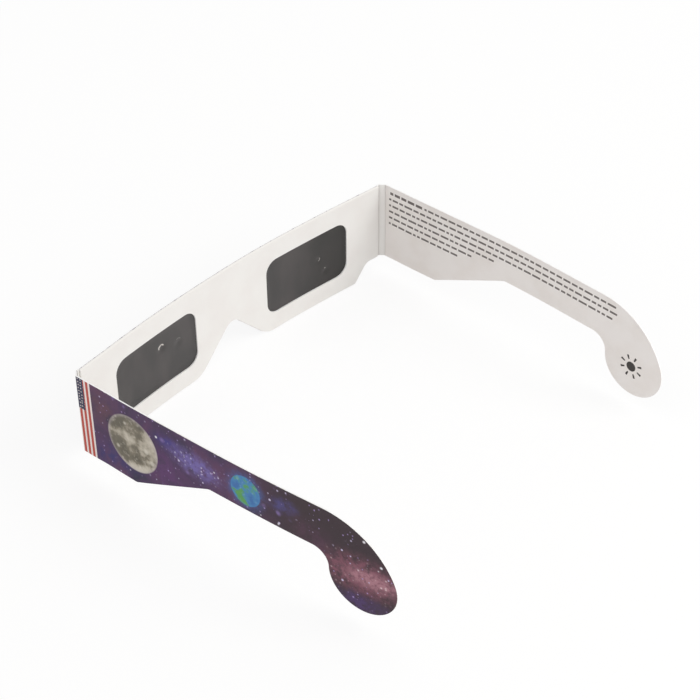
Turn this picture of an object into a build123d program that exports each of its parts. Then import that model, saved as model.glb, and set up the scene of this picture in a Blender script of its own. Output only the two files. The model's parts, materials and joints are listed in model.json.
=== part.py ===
"""Paperboard eclipse glasses, unfolded from their blank and standing on the lower edge of the front.

The front is a bowed laminate: a printed outer ply, an inner ply that is rolled over the top edge, and two
pieces of solar film glued between them. Each temple is one ply that hangs on a narrow gusset between two
parallel creases. Millimetres, +Z up, +Y from the front towards the ears, +X to the wearer's left.
"""

import os
from math import asin, atan2, cos, degrees, radians, sin, sqrt, tan

from build123d import *

# Sheets
board = 0.45
film_thickness = 0.12
glue_thickness = 0.12
pocket_depth = 0.18
crease_clearance = 0.04
cut_overrun = 5.0

# Front
crease_spacing = 145.0
front_height = 38.0
bow_depth = 5.0
fold_bottom = 7.0
end_tab_length = 6.8
step_run = 5.6
step_foot_radius = 1.2
step_head_radius = 4.0
inner_setback = 1.2
inner_lift = 0.25

# Nose notch, whose straight flanks would meet at notch_height
notch_height = 16.5
notch_flank_angle = 45.0
notch_crown_radius = 4.1
notch_foot_radius = 9.0

# Windows, films and glue. The borders are the board left round each window
bridge_width = 34.4
cheek_width = 16.5
brow_width = 8.0
window_bottom = 7.4
window_radius = 5.0
film_margin = 2.6
film_corner_radius = 1.0
film_clearance = 0.4
glue_margin = 1.0

# Gussets
gusset_width = 2.4

# Temples
temple_length = 125.2
temple_curl_radius = 900.0
arm_bottom = 21.6
shoulder_end = 24.0
taper_end = 55.5
taper_corner_radius = 1.5
taper_root_radius = 4.0
tip_radius = 12.0
tip_height = 16.2
ear_crown_radius = 27.3
ear_fillet_radius = 6.0

# Pose at rest: how far each temple points outwards from straight back
left_splay_angle = -0.6
right_splay_angle = 2.1

# The step before each crease, and the windows that fill what their borders leave
half_spacing = crease_spacing / 2
step_start = half_spacing - end_tab_length - step_run
window_width = half_spacing - bridge_width / 2 - cheek_width
window_height = front_height - window_bottom - brow_width

# The bow of the front, measured at the middle of the outer ply
bow_radius = (half_spacing**2 + bow_depth**2) / (2 * bow_depth)
bow_half_angle = degrees(asin(half_spacing / bow_radius))
bow_centre_y = bow_radius - bow_depth
bow_axis = Axis((0, bow_centre_y, 0), (0, 0, 1))

# The stack of the front from the printed face inwards, as radii of the bow
outer_face_radius = bow_radius + board / 2
pocket_face_radius = bow_radius - board / 2
inner_ply_radius = pocket_face_radius - pocket_depth
inner_face_radius = inner_ply_radius - board
stack_thickness = outer_face_radius - inner_face_radius
fold_radius = stack_thickness / 2
ply_top = front_height - fold_radius

# The outer ply stops short of the crease's round bead, and the inner ply a little earlier
bead_radius = board / 2
ply_half_angle = bow_half_angle - degrees((bead_radius + crease_clearance) / bow_radius)
inner_half_angle = bow_half_angle - degrees(inner_setback / bow_radius)

front_view = Plane.XZ
cut_depth = bow_depth + stack_thickness + cut_overrun


def fold_planes(side, splay_angle):
    """Finds where one side's creases stand and which way its gusset and temple run.

    Args:
        side: +1 for the wearer's left, -1 for the right.
        splay_angle: how far the temple points outwards from straight back, in degrees.

    Returns:
        The plan planes of the gusset and the temple. Each has its origin on its crease and its X along
        the piece.
    """
    temple_angle = 90 - splay_angle
    gusset_angle = (bow_half_angle + temple_angle) / 2
    gusset_run = Vector(side * cos(radians(gusset_angle)), sin(radians(gusset_angle)))
    temple_run = Vector(side * cos(radians(temple_angle)), sin(radians(temple_angle)))
    front_crease = Vector(side * half_spacing, 0)
    temple_crease = front_crease + gusset_run * gusset_width
    gusset_plan = Plane(front_crease, x_dir=gusset_run, z_dir=(0, 0, 1))
    temple_plan = Plane(temple_crease, x_dir=temple_run, z_dir=(0, 0, 1))
    return gusset_plan, temple_plan


def bowed_strip(small_radius, large_radius, half_angle):
    """Draws the plan of a bowed sheet, centred on the nose, in the sketch in progress.

    Args:
        small_radius: radius of the face on the wearer's side.
        large_radius: radius of the face on the far side.
        half_angle: angle from the nose to either end, in degrees.
    """
    with BuildLine() as strip:
        near = CenterArc((0, bow_centre_y), small_radius, -90 - half_angle, 2 * half_angle)
        far = CenterArc((0, bow_centre_y), large_radius, -90 - half_angle, 2 * half_angle)
        Line(near @ 0, far @ 0)
        Line(near @ 1, far @ 1)
    make_face(strip.edges())


def front_outline():
    """Draws the front's outline as the wearer faces it, with its nose notch, in the sketch in progress."""
    notch_half_width = notch_height / tan(radians(notch_flank_angle))
    side = half_spacing + cut_overrun
    half = [
        ((notch_half_width, 0), notch_foot_radius),
        ((step_start, 0), step_foot_radius),
        ((step_start + step_run, fold_bottom), step_head_radius),
        ((side, fold_bottom), 0),
        ((side, front_height), 0),
    ]
    mirrored = [((-x, z), radius) for (x, z), radius in reversed(half)]
    corners = [((0, notch_height), notch_crown_radius)] + half + mirrored
    with BuildLine() as outline:
        FilletPolyline(
            [point for point, radius in corners],
            radius=[radius for point, radius in corners],
            close=True,
        )
    make_face(outline.edges())


def window_frames(growth, corner_radius):
    """Draws both windows, grown by a margin on every side, in the sketch in progress."""
    middle_x = (bridge_width + window_width) / 2
    middle_z = window_bottom + window_height / 2
    with Locations((-middle_x, middle_z), (middle_x, middle_z)):
        RectangleRounded(window_width + 2 * growth, window_height + 2 * growth, corner_radius)


# Outer ply, whose top edge gives way to the rolled fold over the inner ply's length
with BuildPart() as front_outer_panel:
    with BuildSketch():
        bowed_strip(pocket_face_radius, outer_face_radius, ply_half_angle)
    extrude(amount=front_height)
    with BuildSketch(front_view):
        front_outline()
    extrude(amount=cut_depth, both=True, mode=Mode.INTERSECT)
    with BuildSketch(front_view):
        window_frames(0, window_radius)
    extrude(amount=cut_depth, both=True, mode=Mode.SUBTRACT)
    with BuildSketch(Plane.XY.offset(ply_top)):
        bowed_strip(inner_face_radius, outer_face_radius + cut_overrun, inner_half_angle)
    extrude(amount=fold_radius, mode=Mode.SUBTRACT)
front_outer_panel.part.label = "front_outer_panel"

# Inner ply, a little shorter than the outer one at the folds and along the lower edge
with BuildPart() as front_inner_panel:
    with BuildSketch():
        bowed_strip(inner_face_radius, inner_ply_radius, inner_half_angle)
    extrude(amount=ply_top)
    with BuildSketch(Plane((0, 0, inner_lift), z_dir=front_view.z_dir, x_dir=front_view.x_dir)):
        front_outline()
    extrude(amount=cut_depth, both=True, mode=Mode.INTERSECT)
    with BuildSketch(front_view):
        window_frames(0, window_radius)
    extrude(amount=cut_depth, both=True, mode=Mode.SUBTRACT)
front_inner_panel.part.label = "front_inner_panel"

# Rolled fold: half a tube of board, revolved along the bow
fold_run = Vector(1, 0).rotate(Axis.Z, -90 - inner_half_angle)
fold_section = Plane((0, bow_centre_y, 0), x_dir=fold_run, z_dir=fold_run.cross(Vector(0, 0, 1)))
with BuildPart() as top_fold:
    with BuildSketch(fold_section):
        with Locations((outer_face_radius - fold_radius, ply_top)):
            Circle(fold_radius)
            Circle(pocket_depth / 2, mode=Mode.SUBTRACT)
            Rectangle(stack_thickness, fold_radius, align=(Align.CENTER, Align.MAX), mode=Mode.SUBTRACT)
    revolve(axis=bow_axis, revolution_arc=2 * inner_half_angle)
top_fold.part.label = "top_fold"

# Both films, made together and then told apart by side
film_outer_radius = pocket_face_radius - (pocket_depth - film_thickness) / 2
with BuildPart() as films:
    with BuildSketch():
        bowed_strip(film_outer_radius - film_thickness, film_outer_radius, inner_half_angle)
    extrude(amount=ply_top)
    with BuildSketch(front_view):
        window_frames(film_margin, film_corner_radius)
    extrude(amount=cut_depth, both=True, mode=Mode.INTERSECT)
right_film, left_film = films.solids().sort_by(Axis.X)
left_film.label = "left_film"
right_film.label = "right_film"

# Dried glue around the films
glue_outer_radius = pocket_face_radius - (pocket_depth - glue_thickness) / 2
with BuildPart() as glue_layer:
    with BuildSketch():
        bowed_strip(glue_outer_radius - glue_thickness, glue_outer_radius, inner_half_angle)
    extrude(amount=ply_top)
    with BuildSketch(front_view):
        front_outline()
        offset(amount=-glue_margin)
    extrude(amount=cut_depth, both=True, mode=Mode.INTERSECT)
    with BuildSketch(front_view):
        window_frames(film_margin + film_clearance, film_corner_radius)
    extrude(amount=cut_depth, both=True, mode=Mode.SUBTRACT)
glue_layer.part.label = "glue_layer"


def make_gusset(plan, label):
    """Makes the strip between two creases, with a round bead of board on each crease line."""
    with BuildPart() as gusset:
        with BuildSketch(plan.offset(fold_bottom)):
            with Locations((gusset_width / 2, 0)):
                SlotCenterToCenter(gusset_width, board)
        extrude(amount=front_height - fold_bottom)
    gusset.part.label = label
    return gusset.part


def temple_outline():
    """Draws a temple from the side, from its crease to the tip behind the ear, in the sketch in progress."""
    root = bead_radius + crease_clearance
    tip = Vector(temple_length - tip_radius, tip_height)
    crown_z = front_height - ear_crown_radius
    crown_reach = ear_crown_radius - tip_radius
    crown = Vector(tip.X - sqrt(crown_reach**2 - (tip_height - crown_z) ** 2), crown_z)
    fillet_z = arm_bottom - ear_fillet_radius
    fillet_reach = ear_fillet_radius + tip_radius
    inside = Vector(tip.X - sqrt(fillet_reach**2 - (tip_height - fillet_z) ** 2), fillet_z)
    crown_end = degrees(atan2(tip.Y - crown.Y, tip.X - crown.X))
    tip_end = degrees(atan2(tip.Y - inside.Y, tip.X - inside.X))
    with BuildLine() as outline:
        CenterArc(crown, ear_crown_radius, crown_end, 90 - crown_end)
        CenterArc(tip, tip_radius, crown_end, tip_end - 180 - crown_end)
        CenterArc(inside, ear_fillet_radius, tip_end, 90 - tip_end)
        FilletPolyline(
            (inside.X, arm_bottom),
            (taper_end, arm_bottom),
            (shoulder_end, fold_bottom),
            (root, fold_bottom),
            (root, front_height),
            (crown.X, front_height),
            radius=[taper_root_radius, taper_corner_radius, 0, 0],
        )
    make_face(outline.edges())


def make_temple(plan, side, label):
    """Makes one curled temple.

    Args:
        plan: plan plane with its origin on the temple's crease and its X along the temple.
        side: +1 for the wearer's left, -1 for the right. The sheet curls towards the head.
        label: the node's name.
    """
    side_view = Plane(plan.origin, x_dir=plan.x_dir, z_dir=plan.x_dir.cross(plan.z_dir))
    curl_angle = degrees((temple_length + cut_overrun) / temple_curl_radius)
    with BuildPart() as temple:
        with BuildSketch(plan):
            with BuildLine():
                sheet_arcs = [
                    CenterArc((0, side * temple_curl_radius), radius, side * -90, side * curl_angle)
                    for radius in (temple_curl_radius - board / 2, temple_curl_radius + board / 2)
                ]
                Line(sheet_arcs[0] @ 0, sheet_arcs[1] @ 0)
                Line(sheet_arcs[0] @ 1, sheet_arcs[1] @ 1)
            make_face()
        extrude(amount=front_height)
        with BuildSketch(side_view):
            temple_outline()
        extrude(amount=temple_length, both=True, mode=Mode.INTERSECT)
    temple.part.label = label
    return temple.part


left_gusset_plan, left_temple_plan = fold_planes(1, left_splay_angle)
right_gusset_plan, right_temple_plan = fold_planes(-1, right_splay_angle)

pieces = [
    front_outer_panel.part,
    front_inner_panel.part,
    top_fold.part,
    left_film,
    right_film,
    glue_layer.part,
    make_gusset(left_gusset_plan, "left_gusset"),
    make_gusset(right_gusset_plan, "right_gusset"),
    make_temple(left_temple_plan, 1, "left_temple"),
    make_temple(right_temple_plan, -1, "right_temple"),
]

# The origin is on the ground under the middle of the whole footprint
footprint = Compound(pieces).bounding_box()
to_origin = Location((-footprint.center().X, -footprint.center().Y, -footprint.min.Z))

os.makedirs("parts", exist_ok=True)
for piece in pieces:
    export_step(piece.moved(to_origin), f"parts/{piece.label}.step")

print("origin moved by", to_origin.position)
for name, plan in (
    ("left front crease", left_gusset_plan),
    ("left temple crease", left_temple_plan),
    ("right front crease", right_gusset_plan),
    ("right temple crease", right_temple_plan),
):
    print(name, "at", to_origin.position + plan.origin)
print("each left crease is folded by", (90 - left_splay_angle - bow_half_angle) / 2, "degrees at rest")
print("each right crease is folded by", (90 - right_splay_angle - bow_half_angle) / 2, "degrees at rest")
print("footprint", footprint.size)
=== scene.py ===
"""Dresses the paperboard eclipse glasses: printed blank, white faces, cut edges and solar film.

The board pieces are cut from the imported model's own sheets, so that they stay where the model has them.
All of them belong to one flat blank. Each face point keeps its place on that blank, in millimetres, in the
UV map called blank, and the print is drawn there, so that it runs on over the creases as ink on board does.
A finish is a ground colour with motifs laid over it in turn.

Metres, +Z up, +Y from the front towards the ears, +X to the wearer's left.
"""

import json
import logging
import math
from dataclasses import dataclass, field
from enum import Enum
from typing import Any

import bpy
from mathutils import Matrix, Vector

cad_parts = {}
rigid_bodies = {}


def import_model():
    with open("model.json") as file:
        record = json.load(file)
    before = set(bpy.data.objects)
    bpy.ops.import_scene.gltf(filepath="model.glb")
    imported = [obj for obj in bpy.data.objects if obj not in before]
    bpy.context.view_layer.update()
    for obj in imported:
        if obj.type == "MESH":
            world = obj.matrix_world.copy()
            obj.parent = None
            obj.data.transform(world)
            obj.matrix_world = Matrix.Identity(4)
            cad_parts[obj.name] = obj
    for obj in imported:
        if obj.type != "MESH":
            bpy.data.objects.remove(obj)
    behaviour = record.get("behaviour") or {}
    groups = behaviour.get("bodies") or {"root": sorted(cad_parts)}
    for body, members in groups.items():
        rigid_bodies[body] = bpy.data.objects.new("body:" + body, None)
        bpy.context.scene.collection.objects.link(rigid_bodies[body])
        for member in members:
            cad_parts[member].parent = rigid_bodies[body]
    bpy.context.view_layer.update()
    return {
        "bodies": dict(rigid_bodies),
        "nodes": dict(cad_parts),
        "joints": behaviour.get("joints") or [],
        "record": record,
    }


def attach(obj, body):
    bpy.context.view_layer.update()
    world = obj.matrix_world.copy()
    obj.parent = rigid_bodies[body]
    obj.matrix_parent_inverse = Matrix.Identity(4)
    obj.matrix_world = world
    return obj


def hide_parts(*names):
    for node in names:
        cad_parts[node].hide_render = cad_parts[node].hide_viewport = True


log = logging.getLogger("glasses")

Tree = bpy.types.NodeTree
Node = bpy.types.Node
Source = bpy.types.Node | bpy.types.NodeSocket
Piece = bpy.types.Object
Plane = tuple[Vector, Vector]

MM = 0.001
BLANK_MAP = "blank"
MATH = "ShaderNodeMath"
VECTOR = "ShaderNodeVectorMath"
RANGE = "ShaderNodeMapRange"
RAMP = "ShaderNodeValToRGB"
NOISE = "ShaderNodeTexNoise"
CELLS = "ShaderNodeTexVoronoi"
SPLIT = "ShaderNodeSeparateXYZ"
SPLIT_COLOUR = "ShaderNodeSeparateColor"


class Side(Enum):
    """The wearer's side, as the sign of X."""

    LEFT = 1
    RIGHT = -1


class Face(Enum):
    """Which face of a sheet of board a polygon is on, as the number of its material slot."""

    PRINTED = 0
    WHITE = 1
    CUT = 2


def ease(share: float) -> float:
    """Keeps a share within 0 and 1 and lets it start and end softly."""
    share = min(1.0, max(0.0, share))
    return share * share * (3 - 2 * share)


def srgb(code: str) -> tuple[float, float, float, float]:
    """Turns an sRGB hex colour into the linear colour that a shader works with.

    Args:
        code: the colour as #rrggbb.

    Returns:
        Linear red, green, blue and an alpha of 1.
    """
    values = [int(code[i : i + 2], 16) / 255 for i in (1, 3, 5)]
    red, green, blue = (v / 12.92 if v <= 0.04045 else ((v + 0.055) / 1.055) ** 2.4 for v in values)
    return red, green, blue, 1.0


def add(tree: Tree, kind: str, inputs: dict[Any, Any] | None = None, **settings: Any) -> Any:
    """Adds one node with its settings and links.

    Args:
        tree: the node tree that gets the node.
        kind: the node's type.
        inputs: what each input holds, by name or number: a value, an output to link, or a node whose first
            live output is linked.
        settings: the node's own properties.

    Returns:
        The new node.
    """
    node = tree.nodes.new(kind)
    for name, value in settings.items():
        setattr(node, name, value)
    for key, value in (inputs or {}).items():
        if isinstance(value, Node):
            value = next(output for output in value.outputs if output.enabled)
        if isinstance(value, Source):
            tree.links.new(value, node.inputs[key])
        else:
            node.inputs[key].default_value = value
    return node


def fill_ramp(node: Any, stops: tuple[tuple[float, str], ...]) -> Node:
    """Gives a colour ramp its stops.

    Args:
        node: the colour ramp.
        stops: each stop's place from 0 to 1 and its sRGB hex colour.

    Returns:
        The same ramp.
    """
    ramp = node.color_ramp
    while len(ramp.elements) > 1:
        ramp.elements.remove(ramp.elements[-1])
    for number, (place, code) in enumerate(stops):
        element = ramp.elements[0] if number == 0 else ramp.elements.new(place)
        element.position = place
        element.color = srgb(code)
    return node


def lay(tree: Tree, ground: Any, layers: list[tuple[Source, Any]]) -> Any:
    """Lays layers of colour over a ground colour in turn.

    Args:
        tree: the node tree.
        ground: the ground's colour.
        layers: each layer's cover from 0 to 1 and its colour.

    Returns:
        The colour of the whole.
    """
    for cover, colour in layers:
        ground = add(tree, "ShaderNodeMix", {0: cover, 6: ground, 7: colour}, data_type="RGBA")
    return ground


def blank_place(tree: Tree) -> Node:
    """Returns the place on the flat blank, in millimetres."""
    return add(tree, "ShaderNodeUVMap", uv_map=BLANK_MAP)


def frame_place(tree: Tree) -> Node:
    """Returns the place in the glasses' own frame, in millimetres."""
    spot = add(tree, "ShaderNodeTexCoord").outputs["Object"]
    return add(tree, VECTOR, {0: spot, "Scale": 1 / MM}, operation="SCALE")


def from_nose(tree: Tree) -> Node:
    """Returns the distance along the blank from the middle of the nose to either side, in millimetres."""
    parts = add(tree, SPLIT, {"Vector": blank_place(tree)})
    return add(tree, MATH, {0: parts.outputs["X"]}, operation="ABSOLUTE")


def oval_place(
    tree: Tree, centre: tuple[float, float], reach: tuple[float, float], tilt: float = 0.0
) -> Node:
    """Places a point of the blank within an oval.

    Args:
        tree: the node tree.
        centre: the oval's middle on the blank.
        reach: its half length and half height.
        tilt: how far its long axis is turned from the blank's length, in degrees.

    Returns:
        The place within the oval, whose length is 1 at the rim.
    """
    inputs = {
        "Vector": blank_place(tree),
        "Location": (*centre, 0.0),
        "Rotation": (0.0, 0.0, math.radians(tilt)),
        "Scale": (*reach, 1.0),
    }
    return add(tree, "ShaderNodeMapping", inputs, vector_type="TEXTURE")


@dataclass(frozen=True)
class Motif:
    """Something that is laid over a finish's ground colour."""

    def draw(self, tree: Tree) -> tuple[Source, Any]:
        """Draws the motif and returns its cover, from 0 to 1, and its colour."""
        raise NotImplementedError


@dataclass(frozen=True)
class Finish:
    """The finish of one face of a sheet: a ground colour, the motifs over it, and a fine relief."""

    name: str
    roughness: float
    ior: float
    relief_height: float
    motifs: tuple[Motif, ...] = ()

    def ground(self, tree: Tree) -> Source:
        """Draws the ground colour and returns it."""
        raise NotImplementedError

    def relief(self, tree: Tree) -> Source:
        """Draws the height of the surface's fine relief and returns it, from 0 to 1."""
        raise NotImplementedError

    def make(self) -> bpy.types.Material:
        """Builds the material.

        Returns:
            The finished material.
        """
        material = bpy.data.materials.new(self.name)
        material.use_nodes = True
        tree = material.node_tree
        tree.nodes.clear()
        colour = lay(tree, self.ground(tree), [motif.draw(tree) for motif in self.motifs])
        bump = add(tree, "ShaderNodeBump", {"Height": self.relief(tree), "Distance": self.relief_height})
        surface = {"Base Color": colour, "Roughness": self.roughness, "IOR": self.ior, "Normal": bump}
        shader = add(tree, "ShaderNodeBsdfPrincipled", surface)
        add(tree, "ShaderNodeOutputMaterial", {"Surface": shader})
        return material


@dataclass(frozen=True)
class WhiteBoard(Finish):
    """Clay-coated solid bleached board: a matt warm white, hardly mottled, with pressed fibres below.

    Real fibres are about 0.03 mm wide. They are drawn as coarse as they need to be to show.
    """

    name: str = "coated_white_board"
    roughness: float = 0.62
    ior: float = 1.45
    relief_height: float = 0.012 * MM
    light: str = "#efedea"
    shade: str = "#edeae7"
    mottle_size: float = 11.0
    fibre_size: float = 0.5

    def ground(self, tree: Tree) -> Source:
        """Draws the mottled white of the coating.

        Args:
            tree: the node tree.

        Returns:
            The coating's colour.
        """
        inputs = {"Vector": blank_place(tree), "Scale": 1 / self.mottle_size, "Detail": 4.0}
        mottle = add(tree, NOISE, inputs, noise_dimensions="2D")
        return fill_ramp(add(tree, RAMP, {"Fac": mottle}), ((0.34, self.shade), (0.6, self.light)))

    def relief(self, tree: Tree) -> Source:
        """Draws the pressed fibres under the coating and returns their height."""
        fibres = {"Scale": 1 / self.fibre_size, "Detail": 3.0, "Distortion": 1.2}
        return add(tree, NOISE, {"Vector": blank_place(tree), **fibres}, noise_dimensions="2D")


@dataclass(frozen=True)
class CutEdge(WhiteBoard):
    """The raw die-cut edge of the board: bright white fibre round every opening, rougher than the faces."""

    name: str = "die_cut_board_edge"
    roughness: float = 0.85
    ior: float = 1.4
    relief_height: float = 0.03 * MM
    light: str = "#ffffff"
    shade: str = "#f8f6f3"
    mottle_size: float = 1.6
    fibre_size: float = 0.2


@dataclass(frozen=True)
class ScoreWithCreaseShade(Motif):
    """A scored crease in both halves of the blank, drawn as a soft grey line: the crushed coating of the score
    and painted crease shade.
    """

    crease: float
    width: float = 0.6
    colour: str = "#d3cdc6"
    strength: float = 0.25

    def draw(self, tree: Tree) -> tuple[Source, Any]:
        """Draws the line.

        Args:
            tree: the node tree.

        Returns:
            Its cover and its colour.
        """
        off = add(tree, MATH, {0: from_nose(tree), 1: self.crease}, operation="SUBTRACT")
        off = add(tree, MATH, {0: off}, operation="ABSOLUTE")
        fall = {"Value": off, "From Min": self.width, "From Max": 0.0, "To Max": self.strength}
        return add(tree, RANGE, fall), srgb(self.colour)


@dataclass(frozen=True)
class TempleInk(Motif):
    """Ink on the inside of one temple, placed in millimetres from its crease and up."""

    side: Side
    crease_place: float

    def along(self, tree: Tree) -> tuple[Source, Source]:
        """Measures a place on the temple.

        Args:
            tree: the node tree.

        Returns:
            The distance from the temple's crease and the height.
        """
        parts = add(tree, SPLIT, {"Vector": blank_place(tree)})
        line = {0: parts.outputs["X"], 1: float(self.side.value), 2: -self.crease_place}
        return add(tree, MATH, line, operation="MULTIPLY_ADD"), parts.outputs["Y"]


@dataclass(frozen=True)
class DashRow(TempleInk):
    """One row of plain grey dashes of uneven length. Its number starts the dashes at another place."""

    number: int
    height: float
    start: float
    end: float
    width: float = 0.8
    ink: str = "#6c6563"
    dash_pitch: float = 3.1
    gap_share: float = 0.11
    number_shift: float = 37.3

    def draw(self, tree: Tree) -> tuple[Source, Any]:
        """Draws the row.

        Args:
            tree: the node tree.

        Returns:
            Its cover and its ink.
        """
        run, height = self.along(tree)
        on_line = add(tree, MATH, {0: height, 1: self.height, 2: self.width / 2}, operation="COMPARE")
        shifted = {0: run, 1: 1 / self.dash_pitch, 2: self.number * self.number_shift}
        step = add(tree, MATH, shifted, operation="MULTIPLY_ADD")
        along_row = {"voronoi_dimensions": "1D", "feature": "DISTANCE_TO_EDGE"}
        gaps = add(tree, CELLS, {"W": step, "Scale": 1.0}, **along_row)
        inked = add(tree, MATH, {0: gaps, 1: self.gap_share}, operation="GREATER_THAN")
        extent = {0: run, 1: (self.start + self.end) / 2, 2: (self.end - self.start) / 2}
        in_row = add(tree, MATH, extent, operation="COMPARE")
        dash = add(tree, MATH, {0: on_line, 1: inked}, operation="MULTIPLY")
        return add(tree, MATH, {0: dash, 1: in_row}, operation="MULTIPLY"), srgb(self.ink)


@dataclass(frozen=True)
class SmallSun(TempleInk):
    """A small sun near the temple's tip: a disc with short rays, in one dull ink."""

    centre: tuple[float, float] = (112.8, 15.4)
    disc_radius: float = 1.9
    ray_start: float = 2.9
    ray_end: float = 4.6
    rays: int = 8
    ray_share: float = 0.24
    ink: str = "#3b3735"

    def draw(self, tree: Tree) -> tuple[Source, Any]:
        """Draws the sun.

        Args:
            tree: the node tree.

        Returns:
            Its cover and its ink.
        """
        run, height = self.along(tree)
        x = add(tree, MATH, {0: run, 1: self.centre[0]}, operation="SUBTRACT")
        y = add(tree, MATH, {0: height, 1: self.centre[1]}, operation="SUBTRACT")
        arm = add(tree, "ShaderNodeCombineXYZ", {"X": x, "Y": y})
        reach = add(tree, VECTOR, {0: arm}, operation="LENGTH")
        disc = add(tree, MATH, {0: reach, 1: self.disc_radius}, operation="LESS_THAN")
        angle = add(tree, MATH, {0: y, 1: x}, operation="ARCTAN2")
        turn = add(tree, MATH, {0: angle, 1: self.rays / math.tau}, operation="MULTIPLY")
        part = add(tree, MATH, {0: turn}, operation="FRACT")
        in_ray = add(tree, MATH, {0: part, 1: 0.5, 2: self.ray_share / 2}, operation="COMPARE")
        half = (self.ray_end - self.ray_start) / 2
        in_ring = add(tree, MATH, {0: reach, 1: self.ray_start + half, 2: half}, operation="COMPARE")
        rays = add(tree, MATH, {0: in_ray, 1: in_ring}, operation="MULTIPLY")
        return add(tree, MATH, {0: rays, 1: disc}, operation="MAXIMUM"), srgb(self.ink)


@dataclass(frozen=True)
class SkyPrint(Finish):
    """Offset ink under a satin varnish: a cloudy violet night sky, browner and darker towards the ear.

    The dark ink takes up what lies behind it, so the varnish's sheen shows most where the sky is darkest.
    """

    name: str = "varnished_night_sky_print"
    roughness: float = 0.42
    ior: float = 1.47
    relief_height: float = 0.01 * MM
    deep: str = "#1f1138"
    middle: str = "#432051"
    glow: str = "#572a55"
    cloud_size: float = 17.0
    crease_place: float = 75.0
    rear: str = "#2d1422"
    rear_start: float = 58.0
    rear_end: float = 92.0
    ripple_size: float = 1.25

    def ground(self, tree: Tree) -> Source:
        """Draws the clouds and darkens them towards the ear, from so far behind the temple's crease.

        Args:
            tree: the node tree.

        Returns:
            The sky's colour.
        """
        inputs = {"Scale": 1 / self.cloud_size, "Detail": 6.0, "Roughness": 0.6, "Distortion": 0.5}
        clouds = add(tree, NOISE, {"Vector": blank_place(tree), **inputs}, noise_dimensions="2D")
        stops = ((0.32, self.deep), (0.5, self.middle), (0.66, self.glow))
        sky = fill_ramp(add(tree, RAMP, {"Fac": clouds}), stops)
        start, end = self.crease_place + self.rear_start, self.crease_place + self.rear_end
        span = {"Value": from_nose(tree), "From Min": start, "From Max": end}
        rearward = add(tree, RANGE, span, interpolation_type="SMOOTHSTEP")
        return lay(tree, sky, [(rearward, srgb(self.rear))])

    def relief(self, tree: Tree) -> Source:
        """Draws the slow ripple that varnish takes from the board under it and returns its height."""
        ripple = {"Vector": blank_place(tree), "Scale": 1 / self.ripple_size, "Detail": 2.0}
        return add(tree, NOISE, ripple, noise_dimensions="2D")


@dataclass(frozen=True)
class Patch(Motif):
    """A soft oval patch of glow: its middle, half length and half height, in millimetres, and its colour."""

    centre: tuple[float, float]
    reach: tuple[float, float]
    tilt: float
    colour: str
    strength: float
    grain: float
    least_strength: float = 0.3

    def depth(self, tree: Tree) -> Node:
        """Measures how deep a place lies in the patch.

        Args:
            tree: the node tree.

        Returns:
            The depth, from 0 at the rim to 1 at the middle.
        """
        place = oval_place(tree, self.centre, self.reach, self.tilt)
        away = add(tree, VECTOR, {0: place}, operation="LENGTH")
        fall = {"Value": away, "From Min": 1.0, "From Max": 0.0}
        return add(tree, RANGE, fall, interpolation_type="SMOOTHSTEP")

    def draw(self, tree: Tree) -> tuple[Source, Any]:
        """Draws the patch with a cloudy grain.

        Args:
            tree: the node tree.

        Returns:
            Its cover and its colour.
        """
        inputs = {"Vector": blank_place(tree), "Scale": 1 / self.grain, "Detail": 6.0, "Roughness": 0.66}
        grain = add(tree, NOISE, inputs, noise_dimensions="2D")
        limits = {"From Min": 0.36, "From Max": 0.64, "To Min": self.least_strength, "To Max": self.strength}
        both = {0: self.depth(tree), 1: add(tree, RANGE, {"Value": grain, **limits})}
        return add(tree, MATH, both, operation="MULTIPLY", use_clamp=True), srgb(self.colour)


@dataclass(frozen=True)
class StarLayer(Motif):
    """Scattered stars that stand in crowds: sizes in millimetres, the share that is lit, and their patch."""

    spacing: float
    radius: float
    lit_share: float
    colour: str
    soft_share: float
    crowd_size: float
    strength: float = 1.0
    crowd_edge: float = 0.42
    crowd_fade: float = 0.12
    within: Patch | None = None

    def draw(self, tree: Tree) -> tuple[Source, Any]:
        """Scatters the stars, each of another size.

        Args:
            tree: the node tree.

        Returns:
            Their cover and their colour.
        """
        place = blank_place(tree)
        cells = add(tree, CELLS, {"Vector": place, "Scale": 1 / self.spacing}, voronoi_dimensions="2D")
        chance = add(tree, SPLIT_COLOUR, {"Color": cells.outputs["Color"]}).outputs["Red"]
        limit = self.radius / self.spacing
        size = add(tree, RANGE, {"Value": chance, "From Min": 1 - self.lit_share, "To Max": limit})
        depth = add(tree, MATH, {0: size, 1: cells}, operation="SUBTRACT")
        rise = {"Value": depth, "From Max": self.soft_share * limit, "To Max": self.strength}
        star = add(tree, RANGE, rise, interpolation_type="SMOOTHSTEP")
        crowds = {"Vector": place, "Scale": 1 / self.crowd_size, "Detail": 2.0}
        crowd = add(tree, NOISE, crowds, noise_dimensions="2D")
        span = {"Value": crowd, "From Min": self.crowd_edge, "From Max": self.crowd_edge + self.crowd_fade}
        near = add(tree, RANGE, span)
        if self.within:
            near = add(tree, MATH, {0: near, 1: self.within.depth(tree)}, operation="MULTIPLY")
        return add(tree, MATH, {0: star, 1: near}, operation="MULTIPLY"), srgb(self.colour)


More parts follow.
